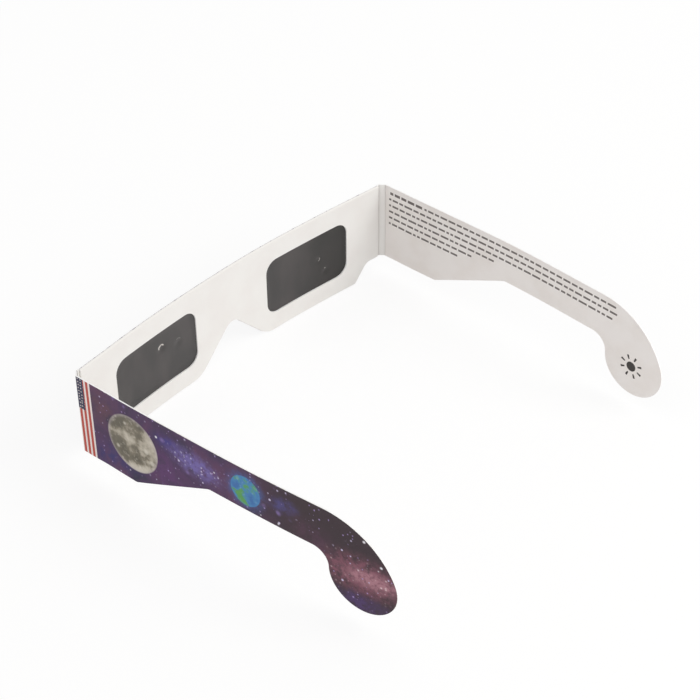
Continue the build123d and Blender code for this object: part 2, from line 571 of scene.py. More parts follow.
@dataclass(frozen=True)
class Ball(Motif):
    """A round ball in the sky: its middle on the blank and its radius, in millimetres."""

    centre: tuple[float, float]
    radius: float
    rim_share: float = 0.04

    def surface(self, tree: Tree, place: Node, away: Node) -> Source:
        """Draws the ball's surface, given the place within it and how far that is from its middle."""
        raise NotImplementedError

    def draw(self, tree: Tree) -> tuple[Source, Any]:
        """Draws the ball.

        Args:
            tree: the node tree.

        Returns:
            Its cover and its colour.
        """
        place = oval_place(tree, self.centre, (self.radius, self.radius))
        away = add(tree, VECTOR, {0: place}, operation="LENGTH")
        cover = add(tree, RANGE, {"Value": away, "From Min": 1.0, "From Max": 1.0 - self.rim_share})
        return cover, self.surface(tree, place, away)


@dataclass(frozen=True)
class GreyBall(Ball):
    """A mottled grey ball, with soft dark plains, pale and dull specks, a few bright spots and a pale limb.

    Its patterns' scales are counts within one radius.
    """

    plains: tuple[tuple[float, str], ...] = (
        (0.4, "#625c4d"),
        (0.47, "#7c7463"),
        (0.52, "#b5ac9b"),
        (0.6, "#d4ccbd"),
    )
    plains_scale: float = 1.15
    plains_seed: float = 4.4
    slope: tuple[float, float, float] = (0.06, -0.07, 0.0)
    speck_scale: float = 6.0
    speck_seed: float = 6.1
    pale_speck: str = "#d4ccbe"
    dull_speck: str = "#6b6557"
    spot_scale: float = 2.9
    spot_reach: float = 0.34
    spot: str = "#dcd5c8"
    limb: str = "#bfb3b6"
    limb_start: float = 0.84

    def surface(self, tree: Tree, place: Node, away: Node) -> Source:
        """Draws the ball's surface.

        Args:
            tree: the node tree.
            place: the place within the ball.
            away: its distance from the ball's middle.

        Returns:
            The surface's colour.
        """
        inputs = {"Vector": place, "W": self.plains_seed, "Scale": self.plains_scale, "Detail": 7.0}
        plains = add(tree, NOISE, {**inputs, "Roughness": 0.55, "Distortion": 0.1}, noise_dimensions="4D")
        slope = add(tree, VECTOR, {0: place, 1: self.slope}, operation="DOT_PRODUCT")
        level = add(tree, MATH, {0: plains, 1: slope}, operation="ADD")
        ground = fill_ramp(add(tree, RAMP, {"Fac": level}), self.plains)
        fine = {"Vector": place, "W": self.speck_seed, "Scale": self.speck_scale}
        speck = add(tree, NOISE, {**fine, "Detail": 4.0, "Roughness": 0.6}, noise_dimensions="4D")
        pale = add(tree, RANGE, {"Value": speck, "From Min": 0.54, "From Max": 0.72, "To Max": 0.6})
        dull = add(tree, RANGE, {"Value": speck, "From Min": 0.46, "From Max": 0.3, "To Max": 0.5})
        spots = add(tree, CELLS, {"Vector": place, "Scale": self.spot_scale}, voronoi_dimensions="2D")
        chance = add(tree, SPLIT_COLOUR, {"Color": spots.outputs["Color"]}).outputs["Green"]
        size = add(tree, RANGE, {"Value": chance, "From Min": 0.6, "To Max": self.spot_reach})
        depth = add(tree, MATH, {0: size, 1: spots}, operation="SUBTRACT")
        bright = add(tree, RANGE, {"Value": depth, "From Max": 0.2, "To Max": 0.7})
        rise = {"Value": away, "From Min": self.limb_start, "From Max": 1.0, "To Max": 0.5}
        limb = add(tree, RANGE, rise, interpolation_type="SMOOTHSTEP")
        covers = (pale, dull, bright, limb)
        colours = (self.pale_speck, self.dull_speck, self.spot, self.limb)
        return lay(tree, ground, [(cover, srgb(colour)) for cover, colour in zip(covers, colours)])


@dataclass(frozen=True)
class BlueBall(Ball):
    """A small blue ball with soft green blobs, thin pale streaks and a blue rim."""

    blobs: tuple[tuple[float, str], ...] = (
        (0.4, "#2f6cae"),
        (0.5, "#3f86ba"),
        (0.55, "#4f9c55"),
        (0.68, "#62a63f"),
    )
    blob_scale: float = 1.15
    blob_seed: float = 5.3
    streak_scale: float = 2.6
    streak_seed: float = 8.4
    streak: str = "#9cc4dc"
    rim: str = "#3f86c4"
    rim_start: float = 0.8

    def surface(self, tree: Tree, place: Node, away: Node) -> Source:
        """Draws the ball's surface.

        Args:
            tree: the node tree.
            place: the place within the ball.
            away: its distance from the ball's middle.

        Returns:
            The surface's colour.
        """
        soft = {"Vector": place, "W": self.blob_seed, "Scale": self.blob_scale}
        blobs = add(tree, NOISE, {**soft, "Detail": 3.0, "Distortion": 0.4}, noise_dimensions="4D")
        ground = fill_ramp(add(tree, RAMP, {"Fac": blobs}), self.blobs)
        fine = {"Vector": place, "W": self.streak_seed, "Scale": self.streak_scale}
        haze = add(tree, NOISE, {**fine, "Detail": 3.0, "Distortion": 0.8}, noise_dimensions="4D")
        thin = add(tree, RANGE, {"Value": haze, "From Min": 0.58, "From Max": 0.76, "To Max": 0.5})
        edge = add(tree, RANGE, {"Value": away, "From Min": self.rim_start, "From Max": 1.0, "To Max": 0.45})
        return lay(tree, ground, [(thin, srgb(self.streak)), (edge, srgb(self.rim))])


@dataclass(frozen=True)
class StripedStrip(Motif):
    """An upright striped strip beside the left temple's crease, with a dotted blue field at its top."""

    crease_place: float
    start: float = -1.2
    end: float = 6.0
    stripe_pitch: float = 1.9
    white_share: float = 0.42
    field_end: float = 2.9
    field_bottom: float = 25.3
    dot_pitch: float = 1.2
    dot_radius: float = 0.22
    dot_blur: float = 0.4
    red: str = "#c04535"
    white: str = "#f6ebe7"
    blue: str = "#2a2b4c"

    def draw(self, tree: Tree) -> tuple[Source, Any]:
        """Draws the strip.

        Args:
            tree: the node tree.

        Returns:
            Its cover and its colour.
        """
        place = blank_place(tree)
        parts = add(tree, SPLIT, {"Vector": place}).outputs
        run = add(tree, MATH, {0: parts["X"], 1: self.crease_place}, operation="SUBTRACT")
        inwards = {0: run, 1: -1 / self.stripe_pitch, 2: self.end / self.stripe_pitch}
        stripe = add(tree, MATH, {0: add(tree, MATH, inwards, operation="MULTIPLY_ADD")}, operation="FRACT")
        reds = add(tree, MATH, {0: stripe, 1: self.white_share}, operation="GREATER_THAN")
        grid = {"Vector": place, "Scale": 1 / self.dot_pitch, "Randomness": 0.3}
        dots = add(tree, CELLS, grid, voronoi_dimensions="2D")
        rim = self.dot_radius / self.dot_pitch
        inner, outer = (1 - self.dot_blur) * rim, (1 + self.dot_blur) * rim
        between = add(tree, RANGE, {"Value": dots, "From Min": inner, "From Max": outer})
        beside = add(tree, MATH, {0: run, 1: self.field_end}, operation="LESS_THAN")
        above = add(tree, MATH, {0: parts["Y"], 1: self.field_bottom}, operation="GREATER_THAN")
        in_field = add(tree, MATH, {0: beside, 1: above}, operation="MULTIPLY")
        blue_field = lay(tree, srgb(self.white), [(between, srgb(self.blue))])
        colour = lay(tree, srgb(self.white), [(reds, srgb(self.red)), (in_field, blue_field)])
        half = (self.end - self.start) / 2
        return add(tree, MATH, {0: run, 1: self.start + half, 2: half}, operation="COMPARE"), colour


@dataclass(frozen=True)
class CreaseCracks(Motif):
    """Ink that broke along the creases, where the board was bent, and shows bare fibres in small flakes."""

    creases: tuple[float, float]
    width: float = 0.3
    flake_size: float = 0.625
    strength: float = 0.6
    colour: str = "#cfc8cc"

    def draw(self, tree: Tree) -> tuple[Source, Any]:
        """Draws the flakes.

        Args:
            tree: the node tree.

        Returns:
            Their cover and their colour.
        """
        reach = from_nose(tree)
        bands = [{0: reach, 1: crease, 2: self.width / 2} for crease in self.creases]
        lines = [add(tree, MATH, band, operation="COMPARE") for band in bands]
        either = add(tree, MATH, {0: lines[0], 1: lines[1]}, operation="MAXIMUM")
        inputs = {"Vector": blank_place(tree), "Scale": 1 / self.flake_size, "Detail": 6.0}
        flakes = add(tree, NOISE, inputs, noise_dimensions="2D")
        span = {"Value": flakes, "From Min": 0.5, "From Max": 0.68, "To Max": self.strength}
        broken = add(tree, RANGE, span)
        return add(tree, MATH, {0: either, 1: broken}, operation="MULTIPLY"), srgb(self.colour)


@dataclass(frozen=True)
class BareTop(Motif):
    """The bare board where the print ends near the top fold's crest, along a line that wavers."""

    top_of_print: float = 38.1
    waver: float = 1.3
    waver_length: float = 10 / 3
    colour: str = "#efece8"

    def draw(self, tree: Tree) -> tuple[Source, Any]:
        """Draws the bare board.

        Args:
            tree: the node tree.

        Returns:
            Its cover and its colour.
        """
        parts = add(tree, SPLIT, {"Vector": blank_place(tree)}).outputs
        inputs = {"W": parts["X"], "Scale": 1 / self.waver_length, "Detail": 6.0, "Roughness": 0.75}
        waver = add(tree, NOISE, inputs, noise_dimensions="1D")
        shift = {0: waver, 1: self.waver, 2: self.top_of_print - self.waver / 2}
        line = add(tree, MATH, shift, operation="MULTIPLY_ADD")
        return add(tree, MATH, {0: parts["Y"], 1: line}, operation="GREATER_THAN"), srgb(self.colour)


@dataclass(frozen=True)
class SolarFilm(Finish):
    """Carbon-filled polymer film: a satin dark grey, with faint streaks from being drawn out.

    It is painted darker towards the wearer's right, as painted shade.
    """

    name: str = "drawn_solar_film"
    roughness: float = 0.36
    ior: float = 1.5
    relief_height: float = 0.01 * MM
    dark: str = "#3d3b3b"
    pale: str = "#484444"
    # Painted shade: the film is darkened towards the wearer's right, between two places across the front.
    painted_shade: str = "#1e1c1a"
    painted_shade_from: float = -24.0
    painted_shade_to: float = -58.0
    painted_shade_strength: float = 0.9
    streak_size: float = 9.0
    streak_stretch: float = 0.45
    grain_size: float = 1.4

    def ground(self, tree: Tree) -> Source:
        """Draws the film's broad streaks and the painted shade towards the wearer's right.

        Args:
            tree: the node tree.

        Returns:
            The film's colour.
        """
        place = frame_place(tree)
        stretch = {"Vector": place, "Scale": (1.0, 1.0, self.streak_stretch)}
        stretched = add(tree, "ShaderNodeMapping", stretch)
        streaks = add(tree, NOISE, {"Vector": stretched, "Scale": 1 / self.streak_size, "Detail": 2.0})
        film = fill_ramp(add(tree, RAMP, {"Fac": streaks}), ((0.38, self.dark), (0.62, self.pale)))
        across = add(tree, SPLIT, {"Vector": place}).outputs["X"]
        limits = {"From Min": self.painted_shade_from, "From Max": self.painted_shade_to, "To Max": self.painted_shade_strength}
        # Painted shade, darkening the film towards the wearer's right.
        painted_shade_cover = add(tree, RANGE, {"Value": across, **limits}, interpolation_type="SMOOTHSTEP")
        return lay(tree, film, [(painted_shade_cover, srgb(self.painted_shade))])

    def relief(self, tree: Tree) -> Source:
        """Draws the film's fine unevenness and returns its height."""
        return add(tree, NOISE, {"Vector": frame_place(tree), "Scale": 1 / self.grain_size})


@dataclass(frozen=True)
class DriedGlue(SolarFilm):
    """Dried white paper glue: a dull cream skin, slightly pitted."""

    name: str = "dried_paper_glue"
    roughness: float = 0.6
    ior: float = 1.46
    relief_height: float = 0.02 * MM
    dark: str = "#d8d2c2"
    pale: str = "#e4dfd2"
    # Painted shade: the glue too is darkened to its dark tone towards the wearer's right.
    painted_shade: str = "#d8d2c2"
    streak_size: float = 3.0
    grain_size: float = 0.8


@dataclass(frozen=True)
class PaintedCrumpleHighlight(Motif):
    """Part of a ring of painted highlight on a crumple of a film, in millimetres across the front and up."""

    x: float
    z: float
    radius: float
    width: float
    facing: float
    spread: float
    strength: float
    fade: float = 0.25
    colour: str = "#ded8d2"

    def draw(self, tree: Tree) -> tuple[Source, Any]:
        """Draws the painted highlight on the side that it faces, as far round as it spreads.

        Args:
            tree: the node tree.

        Returns:
            Its cover and its colour.
        """
        arm = add(tree, VECTOR, {0: frame_place(tree), 1: (self.x, 0.0, self.z)}, operation="SUBTRACT")
        flat = add(tree, VECTOR, {0: arm, 1: (1.0, 0.0, 1.0)}, operation="MULTIPLY")
        reach = add(tree, VECTOR, {0: flat}, operation="LENGTH")
        off = add(tree, MATH, {0: reach, 1: self.radius}, operation="SUBTRACT")
        off = add(tree, MATH, {0: off}, operation="ABSOLUTE")
        fall = {"Value": off, "From Min": self.width, "From Max": 0.3 * self.width, "To Max": self.strength}
        ring = add(tree, RANGE, fall)
        way = math.radians(self.facing)
        aim = {0: flat, 1: (math.cos(way), 0.0, math.sin(way))}
        along = add(tree, VECTOR, aim, operation="DOT_PRODUCT")
        turn = add(tree, MATH, {0: along, 1: reach}, operation="DIVIDE")
        edge = math.cos(math.radians(self.spread))
        part = add(tree, RANGE, {"Value": turn, "From Min": edge, "From Max": edge + self.fade})
        return add(tree, MATH, {0: ring, 1: part}, operation="MULTIPLY"), srgb(self.colour)


def select_only(piece: Piece) -> None:
    """Deselects everything, then makes one piece selected and active.

    Args:
        piece: the piece.
    """
    bpy.ops.object.select_all(action="DESELECT")
    piece.select_set(True)
    bpy.context.view_layer.objects.active = piece


def apply_modifier(piece: Piece, modifier: bpy.types.Modifier) -> None:
    """Makes a modifier's result the piece's own mesh."""
    select_only(piece)
    bpy.ops.object.modifier_apply(modifier=modifier.name)


def row_of_planes(start: Vector, step: Vector, numbers: range) -> list[Plane]:
    """Returns planes set out evenly from a start, in millimetres, each square to the step between them."""
    return [(start + step * number, step.normalized()) for number in numbers]


def cut_by_planes(piece: Piece, planes: list[Plane], reach: float) -> None:
    """Cuts a piece's faces where planes pass through them, so that it can bend there.

    Args:
        piece: the piece.
        planes: each plane's point, in millimetres, and its normal.
        reach: how near to a plane a point counts as on it, in millimetres.
    """
    select_only(piece)
    bpy.ops.object.mode_set(mode="EDIT")
    for point, normal in planes:
        bpy.ops.mesh.select_all(action="SELECT")
        bpy.ops.mesh.bisect(plane_co=point * MM, plane_no=normal, threshold=reach * MM)
    bpy.ops.object.mode_set(mode="OBJECT")


def onto_curve(point: Vector, centre: Vector, radii: tuple[float, ...], reach: float) -> Vector:
    """Moves a point from a facet onto the upright curved face that the facet stands for.

    Args:
        point: the point.
        centre: the curve's centre in plan.
        radii: the radius of each curved face.
        reach: how far a facet may lie from its face. A point further away stays.

    Returns:
        The settled point.
    """
    arm = point.to_2d() - centre
    nearest = min(radii, key=lambda radius: abs(radius - arm.length))
    if abs(nearest - arm.length) > reach:
        return point
    settled = centre + arm.normalized() * nearest
    return Vector((settled.x, settled.y, point.z))


def hand_over(piece: Piece, body: str, node: str, smooth_angle: float) -> None:
    """Smooths a finished piece and puts it in its CAD node's place.

    Args:
        piece: the piece.
        body: the body that it rides on.
        node: the CAD node that it replaces.
        smooth_angle: the sharpest edge that still looks smooth, in degrees.
    """
    select_only(piece)
    bpy.ops.object.shade_smooth_by_angle(angle=math.radians(smooth_angle))
    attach(piece, body)
    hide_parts(node)
    log.info("%s: %d faces, rides on %s", piece.name, len(piece.data.polygons), body)


@dataclass(frozen=True)
class Blank:
    """Where the flat blank's creases went when the glasses were folded, in millimetres, at rest.

    The creases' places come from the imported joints. The bow, the curl and the splay repeat the part's sizes.
    """

    front_creases: dict[Side, Vector]
    temple_creases: dict[Side, Vector]
    board: float = 0.45
    bow_depth: float = 5.0
    curl_radius: float = 900.0
    gusset_width: float = 2.4
    left_splay_angle: float = -0.6
    right_splay_angle: float = 2.1
    pocket_depth: float = 0.18
    film_thickness: float = 0.12
    front_height: float = 38.0
    hold_reach: float = 14.0
    crease_reach: float = 0.5

    @classmethod
    def from_joints(cls, joints: list[dict[str, Any]]) -> "Blank":
        """Reads the creases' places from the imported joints.

        Args:
            joints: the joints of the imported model.

        Returns:
            The blank with its creases in place.
        """
        places = {joint["name"]: Vector(joint["pos_m"]) / MM for joint in joints}
        return cls(
            front_creases={side: places[f"{side.name.lower()}_front_crease"] for side in Side},
            temple_creases={side: places[f"{side.name.lower()}_temple_crease"] for side in Side},
        )

    @property
    def half_spacing(self) -> float:
        """Half the distance between the two front creases."""
        return (self.front_creases[Side.LEFT].x - self.front_creases[Side.RIGHT].x) / 2

    @property
    def bow_radius(self) -> float:
        """Radius of the bow at the middle of the outer ply."""
        return (self.half_spacing**2 + self.bow_depth**2) / (2 * self.bow_depth)

    @property
    def bow_centre(self) -> Vector:
        """The bow's centre in plan."""
        middle = (self.front_creases[Side.LEFT] + self.front_creases[Side.RIGHT]) / 2
        return Vector((middle.x, middle.y + self.bow_radius - self.bow_depth))

    @property
    def half_arc(self) -> float:
        """Length of board from the nose to a front crease."""
        return self.bow_radius * math.asin(self.half_spacing / self.bow_radius)

    @property
    def temple_start(self) -> float:
        """Length of board from the nose to a temple's crease."""
        return self.half_arc + self.gusset_width

    def temple_run(self, side: Side) -> Vector:
        """Returns the direction in plan in which a temple leaves its crease."""
        splay = math.radians(self.left_splay_angle if side is Side.LEFT else self.right_splay_angle)
        return Vector((side.value * math.sin(splay), math.cos(splay)))

    def curl_centre(self, side: Side) -> Vector:
        """Returns the centre in plan of a temple's curl, on the head's side."""
        run = self.temple_run(side)
        return self.temple_creases[side].to_2d() + Vector((-run.y, run.x)) * side.value * self.curl_radius

    def front_freedom(self, x: float) -> float:
        """Returns how freely the front can warp at a place across it, from 0 at its creases to 1."""
        return ease((self.half_spacing - abs(x - self.bow_centre.x)) / self.hold_reach)

    def place_on_front(self, point: Vector) -> tuple[float, float]:
        """Finds where on the flat blank a point of the front is."""
        arm = point.to_2d() - self.bow_centre
        return self.bow_radius * math.atan2(arm.x, -arm.y), point.z

    def place_on_gusset(self, point: Vector, side: Side) -> tuple[float, float]:
        """Finds where on the flat blank a point of a gusset is.

        Args:
            point: the point, in millimetres.
            side: which gusset it is on.

        Returns:
            Its place along the blank and its height.
        """
        run = (self.temple_creases[side] - self.front_creases[side]).to_2d().normalized()
        along = (point.to_2d() - self.front_creases[side].to_2d()).dot(run)
        return side.value * (self.half_arc + along), point.z

    def place_on_temple(self, point: Vector, side: Side) -> tuple[float, float]:
        """Finds where on the flat blank a point of a temple is.

        Args:
            point: the point, in millimetres.
            side: which temple it is on.

        Returns:
            Its place along the blank and its height.
        """
        centre = self.curl_centre(side)
        start = self.temple_creases[side].to_2d() - centre
        arm = point.to_2d() - centre
        angle = math.atan2(start.x * arm.y - start.y * arm.x, start.dot(arm))
        return side.value * (self.temple_start + self.curl_radius * side.value * angle), point.z


@dataclass(frozen=True)
class SlowWarp:
    """The slow waviness of board in use: one field of soft bumps, shared by all that it moves."""

    height: float
    size: float = 42.0

    def push(self, piece: Piece, way: Vector, freedom: list[float]) -> None:
        """Warps a piece.

        Args:
            piece: the piece.
            way: the way it is pushed, along X or Y.
            freedom: how freely each of its points can move, from 0 to 1.
        """
        free = piece.vertex_groups.new(name="free")
        for number, share in enumerate(freedom):
            free.add([number], share, "REPLACE")
        cloud = bpy.data.textures.new(f"{piece.name}_warp", "CLOUDS")
        cloud.noise_scale = self.size * MM
        cloud.noise_depth = 0
        bend = piece.modifiers.new("warp", "DISPLACE")
        bend.texture = cloud
        bend.texture_coords = "GLOBAL"
        bend.direction = "X" if abs(way.x) > abs(way.y) else "Y"
        bend.vertex_group = free.name
        bend.mid_level = 0.0
        bend.strength = (way.x if bend.direction == "X" else way.y) * self.height * MM
        apply_modifier(piece, bend)
        piece.vertex_groups.clear()


@dataclass
class BoardSheet:
    """A sheet of board cut from one CAD solid: cleaned, divided, warped a little, its faces told apart."""

    node: str
    name: str
    body: str
    slot: str
    blank: Blank
    finishes: dict[Face, bpy.types.Material]
    outward: Vector
    warp: SlowWarp | None = None
    cut_pitch: float = 3.0
    cut_reach: float = 0.02
    weld_distance: float = 0.002
    flat_angle: float = 0.1
    side_limit: float = 0.5
    smooth_angle: float = 35.0

    def copy_node(self, frame: dict[str, Any]) -> Piece:
        """Copies the CAD node's mesh into a new piece of its own.

        Args:
            frame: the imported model.

        Returns:
            The new piece.
        """
        sheet = bpy.data.objects.new(self.name, frame["nodes"][self.node].data.copy())
        bpy.context.scene.collection.objects.link(sheet)
        sheet.data.name = self.name
        return sheet

    def weld(self, sheet: Piece) -> None:
        """Joins the loose triangles and clears the lines between those that lie flat.

        Args:
            sheet: the sheet.
        """
        select_only(sheet)
        bpy.ops.object.mode_set(mode="EDIT")
        bpy.ops.mesh.select_all(action="SELECT")
        bpy.ops.mesh.remove_doubles(threshold=self.weld_distance * MM)
        bpy.ops.mesh.customdata_custom_splitnormals_clear()
        bpy.ops.mesh.select_all(action="SELECT")
        bpy.ops.mesh.dissolve_limited(angle_limit=math.radians(self.flat_angle))
        bpy.ops.object.mode_set(mode="OBJECT")

    def cut_lines(self) -> list[Plane]:
        """Returns the planes that divide the sheet. Level ones go up every sheet."""
        count = int(self.blank.front_height / self.cut_pitch)
        return row_of_planes(Vector((0, 0, 0)), Vector((0, 0, self.cut_pitch)), range(1, count + 1))

    def settle(self, point: Vector) -> Vector:
        """Moves a point onto the sheet's true curve. A sheet with no curve of its own leaves it."""
        return point

    def freedom(self, point: Vector) -> float:
        """Returns how freely the sheet can warp at a point, from 0 where it is held to 1."""
        return 0.0

    def at_crease(self, point: Vector) -> bool:
        """Tells whether a point is at a crease, where the print runs on over the sheet's end."""
        return False

    def face_of(self, polygon: bpy.types.MeshPolygon) -> Face:
        """Tells which face of the sheet a polygon is on.

        Args:
            polygon: the polygon.

        Returns:
            Its face. The sheet's end at a crease counts as printed.
        """
        lean = polygon.normal.dot(self.outward)
        if abs(lean) > self.side_limit:
            return Face.PRINTED if lean > 0 else Face.WHITE
        upright = abs(polygon.normal.z) < self.side_limit
        return Face.PRINTED if upright and self.at_crease(polygon.center / MM) else Face.CUT

    def tell_faces_apart(self, sheet: Piece) -> None:
        """Gives each polygon the finish of the sheet's face that it lies on.

        Args:
            sheet: the sheet.
        """
        sheet.data.materials.clear()
        for face in Face:
            sheet.data.materials.append(self.finishes[face])
        for polygon in sheet.data.polygons:
            polygon.material_index = self.face_of(polygon).value

    def place_on_blank(self, point: Vector) -> tuple[float, float]:
        """Finds where on the flat blank a point of the sheet is."""
        raise NotImplementedError

    def map_blank(self, sheet: Piece, places: list[tuple[float, float]]) -> None:
        """Writes each point's place on the flat blank into the UV map.

        Args:
            sheet: the sheet.
            places: the place of each of its points.
        """
        while sheet.data.uv_layers:
            sheet.data.uv_layers.remove(sheet.data.uv_layers[0])
        layer = sheet.data.uv_layers.new(name=BLANK_MAP)
        for loop in sheet.data.loops:
            layer.data[loop.index].uv = places[loop.vertex_index]

    def build(self, frame: dict[str, Any]) -> Piece:
        """Makes the whole sheet and puts it in its CAD node's place.

        Args:
            frame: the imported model.

        Returns:
            The finished piece.
        """
        sheet = self.copy_node(frame)
        self.weld(sheet)
        cut_by_planes(sheet, self.cut_lines(), self.cut_reach)
        places = [self.place_on_blank(vertex.co / MM) for vertex in sheet.data.vertices]
        for vertex in sheet.data.vertices:
            vertex.co = self.settle(vertex.co / MM) * MM
        if self.warp:
            freedom = [self.freedom(vertex.co / MM) for vertex in sheet.data.vertices]
            self.warp.push(sheet, -self.outward, freedom)
        self.tell_faces_apart(sheet)
        self.map_blank(sheet, places)
        hand_over(sheet, self.body, self.node, self.smooth_angle)
        return sheet


@dataclass
class FrontSheet(BoardSheet):
    """A ply of the front, bowed about an upright axis."""

    face_radii: tuple[float, ...] = ()
    settle_reach: float = 0.08

    def cut_lines(self) -> list[Plane]:
        """Adds upright planes across the bow.

        Returns:
            The planes that divide the ply.
        """
        count = int(self.blank.half_spacing / self.cut_pitch)
        middle, step = Vector((self.blank.bow_centre.x, 0, 0)), Vector((self.cut_pitch, 0, 0))
        return row_of_planes(middle, step, range(-count, count + 1)) + super().cut_lines()

    def settle(self, point: Vector) -> Vector:
        """Moves a point onto the bow."""
        return onto_curve(point, self.blank.bow_centre, self.face_radii, self.settle_reach)

    def freedom(self, point: Vector) -> float:
        """Holds the front at both of its creases."""
        return self.blank.front_freedom(point.x)

    def at_crease(self, point: Vector) -> bool:
        """Tells whether a point is on either end of the ply that reaches the creases."""
        return self.blank.half_arc - abs(self.place_on_blank(point)[0]) < self.blank.crease_reach

    def place_on_blank(self, point: Vector) -> tuple[float, float]:
        """Finds where on the flat blank a point of the front is."""
        return self.blank.place_on_front(point)


@dataclass
class FoldSheet(FrontSheet):
    """The rolled fold over the top of the front, whose blank runs on up and over."""

    roll_radius: float = 0.54

    def cut_lines(self) -> list[Plane]:
        """Returns upright planes across the bow alone, because the roll is finely faceted already."""
        return [plane for plane in super().cut_lines() if plane[1].x]

    def settle(self, point: Vector) -> Vector:
        """Leaves the roll as the model has it."""
        return point

    def face_of(self, polygon: bpy.types.MeshPolygon) -> Face:
        """Prints the whole roll but its ends: the print's own top line leaves the wearer's side bare."""
        return Face.PRINTED if abs(polygon.normal.x) < self.side_limit else super().face_of(polygon)

    def place_on_blank(self, point: Vector) -> tuple[float, float]:
        """Unrolls the fold, so that height on the blank runs on over the crest.

        Args:
            point: the point, in millimetres.

        Returns:
            Its place along the blank and its height.
        """
        along, _ = self.blank.place_on_front(point)
        axis_radius = self.blank.bow_radius + self.blank.board / 2 - self.roll_radius
        axis_height = self.blank.front_height - self.roll_radius
        out = (point.to_2d() - self.blank.bow_centre).length - axis_radius
        angle = math.atan2(max(point.z - axis_height, 0.0), out)
        return along, axis_height + self.roll_radius * angle


@dataclass
class GussetSheet(BoardSheet):
    """The strip between a fold's two creases."""

    side: Side = Side.LEFT
    wrap_limit: float = 0.7

    def face_of(self, polygon: bpy.types.MeshPolygon) -> Face:
        """Wraps the print round each rounded crease as far as a closed fold shows it. The rest is white.

        Args:
            polygon: the polygon.

        Returns:
            Its face.
        """
        if abs(polygon.normal.z) >= self.side_limit:
            return super().face_of(polygon)
        return Face.PRINTED if polygon.normal.dot(self.outward) > -self.wrap_limit else Face.WHITE

    def place_on_blank(self, point: Vector) -> tuple[float, float]:
        """Finds where on the flat blank a point of the gusset is."""
        return self.blank.place_on_gusset(point, self.side)


@dataclass
class TempleSheet(BoardSheet):
    """A temple, lightly curled towards the head."""

    side: Side = Side.LEFT
    length: float = 125.2
    settle_reach: float = 0.1

    def cut_lines(self) -> list[Plane]:
        """Adds upright planes along the temple.

        Returns:
            The planes that divide the temple.
        """
        count = int(self.length / self.cut_pitch)
        start = self.blank.temple_creases[self.side]
        step = self.blank.temple_run(self.side).to_3d() * self.cut_pitch
        return row_of_planes(start, step, range(1, count + 1)) + super().cut_lines()

    def settle(self, point: Vector) -> Vector:
        """Moves a point onto the curl."""
        radii = tuple(self.blank.curl_radius + way * self.blank.board / 2 for way in (-1, 1))
        return onto_curve(point, self.blank.curl_centre(self.side), radii, self.settle_reach)

    def freedom(self, point: Vector) -> float:
        """Holds the temple at its crease and lets it warp behind."""
        return ease((abs(self.place_on_blank(point)[0]) - self.blank.temple_start) / self.blank.hold_reach)

    def at_crease(self, point: Vector) -> bool:
        """Tells whether a point is on the temple's root, beside its crease."""
        return abs(self.place_on_blank(point)[0]) - self.blank.temple_start < self.blank.crease_reach

    def place_on_blank(self, point: Vector) -> tuple[float, float]:
        """Finds where on the flat blank a point of the temple is."""
        return self.blank.place_on_temple(point, self.side)


@dataclass(frozen=True)
class Dimple:
    """A small dent or crumple in a film, in millimetres: its place, its reach and how far it pushes in."""

    x: float
    z: float
    reach: float
    depth: float


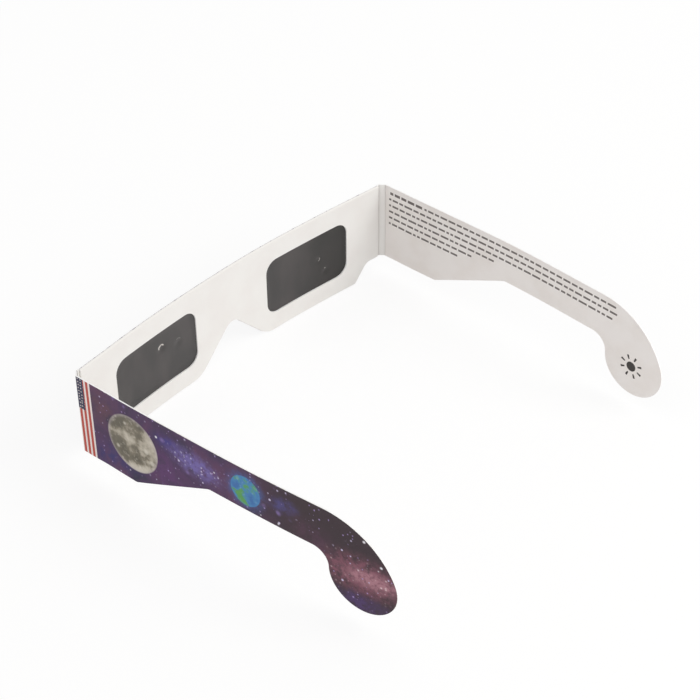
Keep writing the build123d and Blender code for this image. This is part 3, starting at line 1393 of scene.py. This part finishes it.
@dataclass
class SolarWindow:
    """One piece of film, caught between the plies and free to dent inside its window."""

    side: Side
    blank: Blank
    finish: bpy.types.Material
    dimples: tuple[Dimple, ...]
    warp: SlowWarp
    window_width: float = 38.8
    window_height: float = 22.6
    window_bottom: float = 7.4
    bridge_width: float = 34.4
    film_margin: float = 2.6
    corner_radius: float = 1.0
    corner_segments: int = 4
    cut_pitch: float = 0.5
    cut_reach: float = 0.1
    edge_hold: float = 2.5
    smooth_angle: float = 40.0
    ripple: SlowWarp = SlowWarp(0.2, 13.0)

    @property
    def middle(self) -> tuple[float, float]:
        """The window's middle across the front and its height."""
        across = self.blank.bow_centre.x + self.side.value * (self.bridge_width + self.window_width) / 2
        return across, self.window_bottom + self.window_height / 2

    def cut_flat(self) -> Piece:
        """Cuts the flat film with rounded corners, standing upright in the glasses' frame.

        Returns:
            The flat film, one face divided into a fine grid.
        """
        across, height = self.middle
        width, rise = self.window_width + 2 * self.film_margin, self.window_height + 2 * self.film_margin
        upright = (math.radians(90), 0, 0)
        bpy.ops.object.select_all(action="DESELECT")
        bpy.ops.mesh.primitive_plane_add(size=1, location=(across * MM, 0, height * MM), rotation=upright)
        film = bpy.context.active_object
        film.name = film.data.name = f"{self.side.name.lower()}_film_sheet"
        film.scale = (width * MM, rise * MM, 1)
        bpy.ops.object.transform_apply(location=True, rotation=True, scale=True)
        bpy.ops.object.mode_set(mode="EDIT")
        bpy.ops.mesh.select_all(action="SELECT")
        bpy.ops.mesh.bevel(
            offset=self.corner_radius * MM,
            segments=self.corner_segments,
            affect="VERTICES",
            clamp_overlap=False,
        )
        bpy.ops.object.mode_set(mode="OBJECT")
        corner = Vector((across - width / 2, 0, height - rise / 2))
        along, up = Vector((self.cut_pitch, 0, 0)), Vector((0, 0, self.cut_pitch))
        for length, step in ((width, along), (rise, up)):
            grid = row_of_planes(corner, step, range(1, int(length / self.cut_pitch) + 1))
            cut_by_planes(film, grid, self.cut_reach)
        return film

    def freedom(self, x: float, z: float) -> float:
        """Measures how free a point of the film is of the plies.

        Args:
            x: its place across the front.
            z: its height.

        Returns:
            Its freedom, from 0 where the plies grip the film to 1.
        """
        across, height = self.middle
        room = min(self.window_width / 2 - abs(x - across), self.window_height / 2 - abs(z - height))
        return ease(room / self.edge_hold)

    def bend_and_dent(self, film: Piece) -> None:
        """Lays the flat film on the bow between the plies, warps it with them and pushes its dents in.

        Args:
            film: the flat film.
        """
        radius = self.blank.bow_radius - self.blank.board / 2 - self.blank.pocket_depth / 2
        centre = self.blank.bow_centre
        gripped, free = [], []
        for vertex in film.data.vertices:
            x, z = vertex.co.x / MM, vertex.co.z / MM
            gripped.append(self.blank.front_freedom(x))
            free.append(self.freedom(x, z))
            dent = sum(
                dimple.depth * math.exp(-((math.hypot(x - dimple.x, z - dimple.z) / dimple.reach) ** 2))
                for dimple in self.dimples
            )
            bow = centre.y - math.sqrt(radius**2 - (x - centre.x) ** 2)
            vertex.co.y = (bow - dent * free[-1]) * MM
        inward = Vector((0, 1, 0))
        self.warp.push(film, inward, gripped)
        self.ripple.push(film, -inward, free)
        thick = film.modifiers.new("thickness", "SOLIDIFY")
        thick.thickness = self.blank.film_thickness * MM
        thick.offset = 0
        apply_modifier(film, thick)

    def build(self) -> Piece:
        """Makes the film and puts it in place of its CAD node.

        Returns:
            The finished film.
        """
        film = self.cut_flat()
        self.bend_and_dent(film)
        film.data.materials.clear()
        film.data.materials.append(self.finish)
        hand_over(film, "front", f"{self.side.name.lower()}_film", self.smooth_angle)
        return film


@dataclass
class Studio:
    """The pale floor, the soft light and the camera at the photograph's angle."""

    camera_place: tuple[float, float, float] = (0.34746, 0.30387, 0.39538)
    azimuth: float = 132.1116
    elevation: float = 37.9298
    roll: float = -0.2509
    focal_pixels: float = 1816.68
    picture_pixels: float = 700.0
    sensor_width: float = 36.0
    clip_start: float = 0.01
    sky_strength: float = 0.74
    floor_size: float = 6.0
    floor_drop: float = 0.0002
    floor_shadow_share: float = 0.18
    floor_glow: float = 1.02
    key_place: tuple[float, float, float] = (-0.42, 0.85, 0.75)
    key_size: float = 0.7
    key_power: float = 5.0

    def place_camera(self) -> None:
        """Puts the camera where the photograph was taken from."""
        angles = (self.azimuth, self.elevation, self.roll)
        azimuth, elevation, roll = (math.radians(angle) for angle in angles)
        flat = math.cos(elevation)
        forward = -Vector((math.sin(azimuth) * flat, -math.cos(azimuth) * flat, math.sin(elevation)))
        level = forward.cross(Vector((0, 0, 1))).normalized()
        upright = level.cross(forward)
        right = level * math.cos(roll) + upright * math.sin(roll)
        up = upright * math.cos(roll) - level * math.sin(roll)
        data = bpy.data.cameras.new("photo_camera")
        data.sensor_width = self.sensor_width
        data.lens = self.sensor_width * self.focal_pixels / self.picture_pixels
        data.clip_start = self.clip_start
        camera = bpy.data.objects.new("photo_camera", data)
        bpy.context.scene.collection.objects.link(camera)
        turn = Matrix((right, up, -forward)).transposed().to_4x4()
        camera.matrix_world = Matrix.Translation(self.camera_place) @ turn
        bpy.context.scene.camera = camera

    def light_sky(self) -> None:
        """Lights the object from all round, and shows plain white behind it."""
        world = bpy.data.worlds.new("soft_sky")
        bpy.context.scene.world = world
        world.use_nodes = True
        tree = world.node_tree
        tree.nodes.clear()
        path = add(tree, "ShaderNodeLightPath").outputs["Is Camera Ray"]
        light = add(tree, "ShaderNodeBackground", {"Color": srgb("#ffffff"), "Strength": self.sky_strength})
        shown = add(tree, "ShaderNodeBackground", {"Color": srgb("#ffffff"), "Strength": 1.0})
        mixed = add(tree, "ShaderNodeMixShader", {0: path, 1: light, 2: shown})
        add(tree, "ShaderNodeOutputWorld", {"Surface": mixed})

    def hang_key(self) -> None:
        """Hangs one large soft lamp above and behind the wearer."""
        data = bpy.data.lights.new("key_lamp", "AREA")
        data.shape = "SQUARE"
        data.size = self.key_size
        data.energy = self.key_power
        data.color = srgb("#fffefc")[:3]
        lamp = bpy.data.objects.new("key_lamp", data)
        bpy.context.scene.collection.objects.link(lamp)
        place = Vector(self.key_place)
        lamp.location = place
        lamp.rotation_mode = "QUATERNION"
        lamp.rotation_quaternion = (-place).to_track_quat("-Z", "Y")

    def lay_floor(self) -> None:
        """Lays the floor, which shows almost white and keeps a soft part of the shadow."""
        bpy.ops.object.select_all(action="DESELECT")
        bpy.ops.mesh.primitive_plane_add(size=self.floor_size, location=(0, 0, -self.floor_drop))
        floor = bpy.context.active_object
        floor.name = "floor"
        material = bpy.data.materials.new("pale_floor")
        material.use_nodes = True
        tree = material.node_tree
        tree.nodes.clear()
        matt = add(tree, "ShaderNodeBsdfDiffuse", {"Color": srgb("#faf9f8")})
        shown = add(tree, "ShaderNodeEmission", {"Color": srgb("#ffffff"), "Strength": self.floor_glow})
        path = add(tree, "ShaderNodeLightPath").outputs["Is Camera Ray"]
        share = add(tree, MATH, {0: path, 1: 1 - self.floor_shadow_share}, operation="MULTIPLY")
        mixed = add(tree, "ShaderNodeMixShader", {0: share, 1: matt, 2: shown})
        add(tree, "ShaderNodeOutputMaterial", {"Surface": mixed})
        floor.data.materials.append(material)

    def build(self) -> None:
        """Sets up the whole studio."""
        self.place_camera()
        self.light_sky()
        self.hang_key()
        self.lay_floor()
        bpy.context.scene.view_settings.view_transform = "Standard"
        log.info("studio ready")


@dataclass
class Glasses:
    """The whole pair: the laminated front, two solar windows, two gussets and two temples."""

    frame: dict[str, Any]
    blank: Blank
    front_warp: SlowWarp = SlowWarp(0.5)
    temple_warp: SlowWarp = SlowWarp(0.7)
    white: bpy.types.Material = field(init=False)
    dashed: bpy.types.Material = field(init=False)
    cut: bpy.types.Material = field(init=False)
    printed: bpy.types.Material = field(init=False)
    film: bpy.types.Material = field(init=False)
    glue: bpy.types.Material = field(init=False)

    def mix_finishes(self) -> None:
        """Makes every material that the pieces share."""
        # Soft grey lines along the creases: the scores' crushed coating with painted crease shade.
        scores_with_crease_shade = tuple(ScoreWithCreaseShade(crease) for crease in (self.blank.half_arc, self.blank.temple_start))
        self.white = WhiteBoard(motifs=scores_with_crease_shade).make()
        self.cut = CutEdge().make()
        self.glue = DriedGlue().make()
        # Pale arcs of painted highlight on the films' crumples.
        painted_crumple_highlights = (
            PaintedCrumpleHighlight(33.9, 22.9, 1.1, 0.34, 70.0, 100.0, 0.9),
            PaintedCrumpleHighlight(34.7, 23.2, 0.4, 0.35, 60.0, 120.0, 0.9),
            PaintedCrumpleHighlight(25.9, 20.9, 1.2, 0.25, 100.0, 60.0, 0.14),
            PaintedCrumpleHighlight(-42.5, 19.1, 0.7, 0.2, 200.0, 75.0, 0.4),
            PaintedCrumpleHighlight(-45.6, 13.9, 0.15, 0.22, 90.0, 120.0, 0.7),
        )
        self.film = SolarFilm(motifs=painted_crumple_highlights).make()
        # The right temple's inside gets a warmer white than the front's board: painted warm shade.
        self.dashed = WhiteBoard(
            "coated_white_board_with_dashes",
            light="#f2edea",
            shade="#eee8e4",
            motifs=scores_with_crease_shade + self.temple_ink(),
        ).make()
        self.printed = self.mix_print(self.blank.temple_start)

    def temple_ink(self) -> tuple[TempleInk, ...]:
        """Sets out what is printed inside the right temple.

        Returns:
            Six lines of dashes, of which the first starts bold, and the small sun.
        """
        rows = (
            (35.4, 2.0, 17.5, 1.1),
            (35.4, 18.6, 104.4),
            (32.8, 2.0, 105.6),
            (30.2, 2.0, 103.2),
            (27.6, 2.0, 50.5),
            (25.0, 2.0, 40.5),
            (22.4, 2.0, 34.5),
        )
        on_temple = (Side.RIGHT, self.blank.temple_start)
        dashes = tuple(DashRow(*on_temple, number, *row) for number, row in enumerate(rows, 1))
        return dashes + (SmallSun(*on_temple),)

    def mix_print(self, start: float) -> bpy.types.Material:
        """Makes the printed face's material.

        Args:
            start: the place of the temples' creases along the blank.

        Returns:
            The material.
        """
        cloud = Patch((start + 50.0, 28.6), (15.0, 7.0), -8.0, "#6f5fa6", 1.6, 2.6)
        band = Patch((start + 113.0, 18.0), (22.0, 11.0), 4.0, "#7c4658", 1.9, 2.6)
        patches = (
            Patch((start + 9.0, 30.0), (13.0, 13.0), 0.0, "#5a3048", 1.4, 6.0),
            Patch((start + 14.0, 12.0), (20.0, 8.0), 8.0, "#2a1c66", 1.1, 5.0),
            Patch((start + 37.0, 19.0), (14.0, 12.0), 0.0, "#562763", 1.4, 4.0),
            Patch((start + 39.0, 31.5), (8.0, 5.0), 0.0, "#33247c", 1.1, 3.0),
            cloud,
            Patch((start + 70.5, 29.2), (9.4, 9.4), 0.0, "#3f5a9a", 2.6, 3.0),
            Patch((start + 85.0, 31.0), (8.0, 4.5), 12.0, "#443a78", 1.4, 2.5),
            Patch((start + 96.0, 24.0), (16.0, 9.0), -24.0, "#46203a", 1.2, 4.0),
            band,
            Patch((start + 117.0, 18.2), (15.0, 5.2), 4.0, "#ab7683", 1.7, 1.7),
            Patch((start + 112.0, 7.0), (16.0, 6.0), 6.0, "#472a62", 1.4, 3.0),
            Patch((-40.0, 20.0), (26.0, 9.0), 14.0, "#5a4c9c", 1.3, 4.0),
            Patch((30.0, 30.0), (22.0, 7.0), -8.0, "#74405f", 1.2, 4.0),
            Patch((-start - 60.0, 28.0), (26.0, 8.0), 9.0, "#5a4c9c", 1.3, 4.0),
            Patch((-start - 112.0, 16.0), (16.0, 7.0), -20.0, "#7c4a5c", 1.5, 3.4),
        )
        stars = (
            StarLayer(1.35, 0.62, 0.75, "#e6def5", 0.9, crowd_size=4.0, crowd_edge=0.4, within=cloud),
            StarLayer(1.6, 0.62, 0.6, "#f3dcdf", 0.9, crowd_size=5.0, within=band),
            StarLayer(1.7, 0.48, 0.5, "#b49ad6", 0.8, strength=0.85, crowd_size=6.0, crowd_edge=0.47),
            StarLayer(5.1, 1.5, 0.45, "#8a72b4", 1.0, strength=0.7, crowd_size=9.0, crowd_edge=0.46),
            StarLayer(3.3, 0.62, 0.5, "#d8ccee", 0.7, crowd_size=9.0),
            StarLayer(6.1, 0.74, 0.45, "#f8f4fc", 0.8, crowd_size=18.0),
        )
        balls = (GreyBall((start + 23.6, 22.8), 11.0), BlueBall((start + 70.5, 29.2), 5.8))
        board_shows = (CreaseCracks((self.blank.half_arc, start)), BareTop())
        motifs = patches + stars + balls + (StripedStrip(start),) + board_shows
        return SkyPrint(crease_place=start, motifs=motifs).make()

    def finishes(self, inner: bpy.types.Material) -> dict[Face, bpy.types.Material]:
        """Returns the finish of each face of a sheet, given that of its wearer's side."""
        return {Face.PRINTED: self.printed, Face.WHITE: inner, Face.CUT: self.cut}

    def build_front(self) -> None:
        """Builds the two plies and the rolled fold, and dresses the glue between them."""
        board, pocket = self.blank.board, self.blank.pocket_depth
        outer = self.blank.bow_radius + board / 2
        outward = Vector((0, -1, 0))
        shared = {"warp": self.front_warp, "blank": self.blank, "outward": outward, "body": "front"}
        FrontSheet(
            "front_outer_panel",
            "front_outer_sheet",
            slot="printed_board",
            finishes=self.finishes(self.white),
            face_radii=(outer, outer - board),
            **shared,
        ).build(self.frame)
        FrontSheet(
            "front_inner_panel",
            "front_inner_sheet",
            slot="white_board",
            finishes={Face.PRINTED: self.white, Face.WHITE: self.white, Face.CUT: self.cut},
            face_radii=(outer - board - pocket, outer - 2 * board - pocket),
            **shared,
        ).build(self.frame)
        FoldSheet(
            "top_fold",
            "top_fold_roll",
            slot="white_board",
            finishes=self.finishes(self.white),
            roll_radius=board + pocket / 2,
            **shared,
        ).build(self.frame)
        glue = self.frame["nodes"]["glue_layer"]
        glue.data.materials.clear()
        glue.data.materials.append(self.glue)
        log.info("%s: dressed as it is", glue.name)

    def build_windows(self) -> None:
        """Builds both films, each with its own dents."""
        dents = {
            Side.LEFT: (
                Dimple(33.9, 22.6, 1.3, 0.4),
                Dimple(25.9, 20.1, 1.4, 0.3),
                Dimple(46.0, 14.0, 5.0, 0.12),
            ),
            Side.RIGHT: (
                Dimple(-42.5, 19.1, 1.1, 0.25),
                Dimple(-45.8, 12.6, 1.2, 0.35),
                Dimple(-30.0, 20.0, 6.0, 0.1),
            ),
        }
        for side in Side:
            SolarWindow(side, self.blank, self.film, dents[side], self.front_warp).build()

    def build_sides(self) -> None:
        """Builds the gusset and the temple of each side."""
        for side in Side:
            name = side.name.lower()
            run = (self.blank.temple_creases[side] - self.blank.front_creases[side]).normalized()
            shared = {"slot": "printed_board", "blank": self.blank, "side": side}
            GussetSheet(
                f"{name}_gusset",
                f"{name}_gusset_strip",
                body=f"{name}_gusset",
                finishes=self.finishes(self.white),
                outward=Vector((side.value * run.y, -side.value * run.x, 0)),
                **shared,
            ).build(self.frame)
            TempleSheet(
                f"{name}_temple",
                f"{name}_temple_sheet",
                body=f"{name}_temple",
                finishes=self.finishes(self.dashed if side is Side.RIGHT else self.white),
                outward=Vector((side.value, 0, 0)),
                warp=self.temple_warp,
                **shared,
            ).build(self.frame)

    def build(self) -> None:
        """Builds and dresses everything."""
        self.mix_finishes()
        self.build_front()
        self.build_windows()
        self.build_sides()


def main() -> None:
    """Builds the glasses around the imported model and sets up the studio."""
    logging.basicConfig(level=logging.INFO, format="%(message)s")
    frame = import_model()
    Glasses(frame, Blank.from_joints(frame["joints"])).build()
    Studio().build()


if __name__ == "__main__":
    main()
